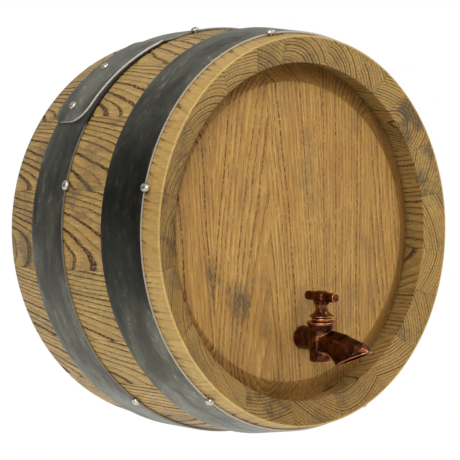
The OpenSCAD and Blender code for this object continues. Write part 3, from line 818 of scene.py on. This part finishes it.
tap = {
    "bodyCast": (0.55 * mm, 4),    # how finely it is cast and how often it is smoothed
    "keyCast": (0.495 * mm, 3),
    "wearReach": 0.09 * mm,
    # one side of the spout's nose, in mm from the key's axis
    "nose": [(12.5, -44, -8), (12, -60, -6), (9, -40, 5), (8.5, -57, 3), (5, -68, 0.8),
             (1.5, -66, 4.2), (1.5, -52, 7.2), (1, -40, 10), (2, -74, -2.6)],
    "flareFrom": 34 * mm,      # heights on the key where its neck opens into the handle
    "flareTo": 50.5 * mm,
    "flareWaist": 6.8 * mm,
    "flareReach": 13.5 * mm,
    "flareCurve": 2.0,
    "flareSteps": 8,
    "handleRadius": 5.4 * mm,
    "handleLong": 46 * mm,
    "handleAt": 50.5 * mm,
    "turns": 32,
}
tapAt = Vector(frame["joints"][0]["pos_m"])  # on the key's axis


def cadShape(node):
    shape = bmesh.new()
    shape.from_mesh(frame["nodes"][node].data)
    bmesh.ops.remove_doubles(shape, verts=shape.verts, dist=1e-6)
    return shape


def castFrom(name, shape, voxel, rounds):
    # runs the parts together like one casting and softens its edges
    mesh = bpy.data.meshes.new(name)
    shape.to_mesh(mesh)
    shape.free()
    whole = bpy.data.objects.new(name, mesh)
    bpy.context.scene.collection.objects.link(whole)
    remesh = whole.modifiers.new("remesh", "REMESH")
    remesh.mode = "VOXEL"
    remesh.voxel_size = voxel
    smooth = whole.modifiers.new("smooth", "SMOOTH")
    smooth.factor = 0.5
    smooth.iterations = rounds
    depsgraph = bpy.context.evaluated_depsgraph_get()
    made = bmesh.new()
    made.from_mesh(whole.evaluated_get(depsgraph).to_mesh())
    bpy.data.objects.remove(whole)
    bpy.data.meshes.remove(mesh)
    return made


def rubAndHighlight(piece, extraOf):
    # wear follows how far each place stands out from its neighbours; extraOf adds painted highlights
    # on top
    mesh = piece.data
    shape = bmesh.new()
    shape.from_mesh(mesh)
    shape.normal_update()
    out = [0.0] * len(shape.verts)
    for vertex in shape.verts:
        near = [edge.other_vert(vertex) for edge in vertex.link_edges]
        middle = sum((other.co for other in near), Vector()) / len(near)
        out[vertex.index] = (vertex.co - middle).dot(vertex.normal) / tap["wearReach"]
    for _ in range(2):
        out = [(out[v.index] + sum(out[e.other_vert(v).index] for e in v.link_edges)) /
               (1 + len(v.link_edges)) for v in shape.verts]
    wearAndHighlight = mesh.attributes.new("wearAndHighlight", "FLOAT", "POINT")
    for vertex in shape.verts:
        rubbedAndHighlit = max(out[vertex.index], 0) + extraOf(vertex.co)
        wearAndHighlight.data[vertex.index].value = min(rubbedAndHighlit, 1)
    shape.free()


def hullOf(points, at):
    shape = bmesh.new()
    for x, y, z in points:
        for side in (-1, 1):
            shape.verts.new(Vector((side * x, y, z)) * mm + at)
    made = bmesh.ops.convex_hull(shape, input=shape.verts)
    spare = made["geom_interior"] + made["geom_unused"]
    loose = {v for v in spare if isinstance(v, bmesh.types.BMVert)}
    bmesh.ops.delete(shape, geom=list(loose), context="VERTS")
    return shape


def makeTapBody():
    shape = cadShape("tap_body")
    addShape(shape, hullOf(tap["nose"], tapAt))
    made = castFrom("tapCasting", shape, *tap["bodyCast"])
    piece = newPiece("tap_body_copper", made, agedCopper,
                     replaced=["tap_body"], sharp=180)

    def rubbedAndHighlit(point):
        # painted highlights: the casting is painted bright round the spout's root, where its fillet
        # would catch the light, and on the body's front
        x, y, z = (point - tapAt) / mm
        slope = 0.866  # of the hexagon's sides
        rise = (z + 2) * slope
        corner = max(abs(x), abs(x / 2 + rise), abs(x / 2 - rise)) / slope
        if 15.2 < corner < 17 and -18 < y < -4:
            return 0.45
        return 0.3 if -18 < y < 0 and math.hypot(x, y) < 17 else 0.08

    rubAndHighlight(piece, rubbedAndHighlit)


def makeTapKey():
    shape = cadShape("tap_key")
    flare = bmesh.new()
    rings = []
    steps = tap["flareSteps"]
    for step in range(steps + 1):
        share = step / steps
        height = tap["flareFrom"] + (tap["flareTo"] - tap["flareFrom"]) * share
        wide = tap["flareWaist"] + (tap["handleRadius"] - tap["flareWaist"]) * share
        long = tap["flareWaist"] + tap["flareReach"] * share ** tap["flareCurve"]
        size = Matrix.Diagonal((wide, long, 1, 1))
        place = Matrix.Translation(tapAt + Vector((0, 0, height)))
        made = bmesh.ops.create_circle(flare, cap_ends=step in (0, steps), radius=1,
                                       segments=tap["turns"], matrix=place @ size)
        rings.append({e for v in made["verts"] for e in v.link_edges})
    for first, second in zip(rings, rings[1:]):
        bmesh.ops.bridge_loops(flare, edges=list(first | second))
    bmesh.ops.recalc_face_normals(flare, faces=flare.faces)
    addShape(shape, flare)
    half = tap["handleLong"] / 2
    side = [(0, -half), (tap["handleRadius"], -half), (tap["handleRadius"], half), (0, half)]
    bar = lathe(side, tap["turns"], axis=(0, 1, 0),
                place=tapAt + Vector((0, 0, tap["handleAt"])))
    addShape(shape, bar)
    made = castFrom("keyCasting", shape, *tap["keyCast"])
    piece = newPiece("tap_key_copper", made, agedCopper, body="key",
                     replaced=["tap_key"], sharp=180)

    def rubbedAndHighlit(point):
        # painted highlights on the neck and the ring under it, where they would catch the light
        height = (point.z - tapAt.z) / mm
        if 29 < height < 42:
            return 0.4
        return 0.5 if 22 < height < 26.5 else 0.05

    rubAndHighlight(piece, rubbedAndHighlit)


makeTapBody()
makeTapKey()
print("tap made")


# the back and hidden parts keep their CAD shapes and get a finish
finishes = {
    "head_dowels": headOak, "tap_key_washer": plainSteel, "tap_key_screw": plainSteel,
    "tap_gasket": leather, "tap_back_washer": plainSteel, "tap_back_nut": agedCopper,
    "wall_batten": staveOak, "batten_screws": plainSteel, "hanger_plate_left": brightSteel,
    "hanger_plate_right": brightSteel, "hanger_screws": plainSteel,
}
for node, material in finishes.items():
    piece = frame["nodes"][node]
    piece.data.materials.clear()
    piece.data.materials.append(material)
battenCut = (28, 0.12, 0.03, 0.02)
for node in ("wall_batten", "head_dowels"):
    sawn(frame["nodes"][node], lambda p: (p.z, p.y, p.x), *battenCut)
print("back parts finished")


camera = {"at": (-0.63384, -0.92422, 0.03192), "azimuth": -37.58, "elevation": 3.0, "roll": -0.9,
          "lens": 62.6, "shiftX": -0.0107, "shiftY": 0.0393}


def makeCamera():
    azimuth = math.radians(camera["azimuth"])
    elevation = math.radians(camera["elevation"])
    roll = math.radians(camera["roll"])
    back = Vector((math.sin(azimuth) * math.cos(elevation),
                   -math.cos(azimuth) * math.cos(elevation), math.sin(elevation)))
    right = (-back).cross(Vector((0, 0, 1))).normalized()
    up = right.cross(-back)
    across = right * math.cos(roll) + up * math.sin(roll)
    upright = up * math.cos(roll) - right * math.sin(roll)
    data = bpy.data.cameras.new("camera")
    data.lens = camera["lens"]
    data.sensor_width = 36
    data.shift_x = camera["shiftX"]
    data.shift_y = camera["shiftY"]
    eye = bpy.data.objects.new("camera", data)
    turned = Matrix((across, upright, back)).transposed().to_4x4()
    eye.matrix_world = Matrix.Translation(camera["at"]) @ turned
    bpy.context.scene.collection.objects.link(eye)
    bpy.context.scene.camera = eye


lights = {
    "right": {"at": (0.9, -1.2, 1.45), "size": 0.8, "power": 9},
    "left": {"at": (-1.2, -1.3, 0.85), "size": 1.0, "power": 21},
}


def makeLights():
    for name, light in lights.items():
        data = bpy.data.lights.new(name, "AREA")
        data.energy = light["power"]
        data.size = light["size"]
        lamp = bpy.data.objects.new(name, data)
        lamp.location = light["at"]
        lamp.rotation_euler = (-Vector(light["at"])).to_track_quat("-Z", "Y").to_euler()
        bpy.context.scene.collection.objects.link(lamp)


# dark points at the dark side; darkEdge is the cosine from it where the dark starts and is full
room = {"bright": 0.59, "dark": (-0.88, 0.47, 0.0), "darkEdge": (0.72, 0.98), "darkShare": 0.9,
        "floor": 1.06, "floorDrop": 0.24, "floorSize": 6}


def makeWorld():
    # a white room that is dark on one side, which the hoops reflect
    world = bpy.data.worlds.new("studio")
    world.use_nodes = True
    tree = world.node_tree
    lit = tree.nodes["Background"]
    lit.inputs["Color"].default_value = (1, 1, 1, 1)
    towards = addNode(tree, "TexCoord").outputs["Generated"]
    side = addNode(tree, "VectorMath", {0: towards, 1: room["dark"]}, operation="DOT_PRODUCT")
    shade = mapRange(tree, side.outputs["Value"], *room["darkEdge"], 0.0, room["darkShare"])
    bright = maths(tree, "MULTIPLY_ADD", shade, -room["bright"], room["bright"])
    tree.links.new(bright, lit.inputs["Strength"])
    seen = addNode(tree, "Background", {"Color": (1, 1, 1, 1), "Strength": 1.0})
    path = addNode(tree, "LightPath")
    both = addNode(tree, "MixShader", {0: path.outputs["Is Camera Ray"], 1: lit.outputs[0],
                                       2: seen.outputs[0]})
    tree.links.new(both.outputs[0], tree.nodes["World Output"].inputs["Surface"])
    bpy.context.scene.world = world


def makeFloor():
    # it is lit so brightly that it runs into the white behind it
    shape = bmesh.new()
    bmesh.ops.create_grid(shape, x_segments=1, y_segments=1, size=room["floorSize"])
    floorHeight = cadBox[0].z - room["floorDrop"]
    bmesh.ops.translate(shape, verts=shape.verts, vec=(0, 0, floorHeight))
    mesh = bpy.data.meshes.new("floor")
    shape.to_mesh(mesh)
    shape.free()
    material, tree, shader = newMaterial("palePaper", roughness=0.9, specular=0.0)
    shader.inputs["Base Color"].default_value = (0, 0, 0, 1)
    shader.inputs["Emission Color"].default_value = (1, 1, 1, 1)
    path = addNode(tree, "LightPath").outputs["Is Camera Ray"]
    glow = maths(tree, "MULTIPLY_ADD", path, 1 - room["floor"], room["floor"])
    tree.links.new(glow, shader.inputs["Emission Strength"])
    mesh.materials.append(material)
    floor = bpy.data.objects.new("floor", mesh)
    bpy.context.scene.collection.objects.link(floor)


makeCamera()
makeLights()
makeWorld()
makeFloor()
bpy.context.scene.view_settings.view_transform = "Standard"
print("camera, light and floor made")
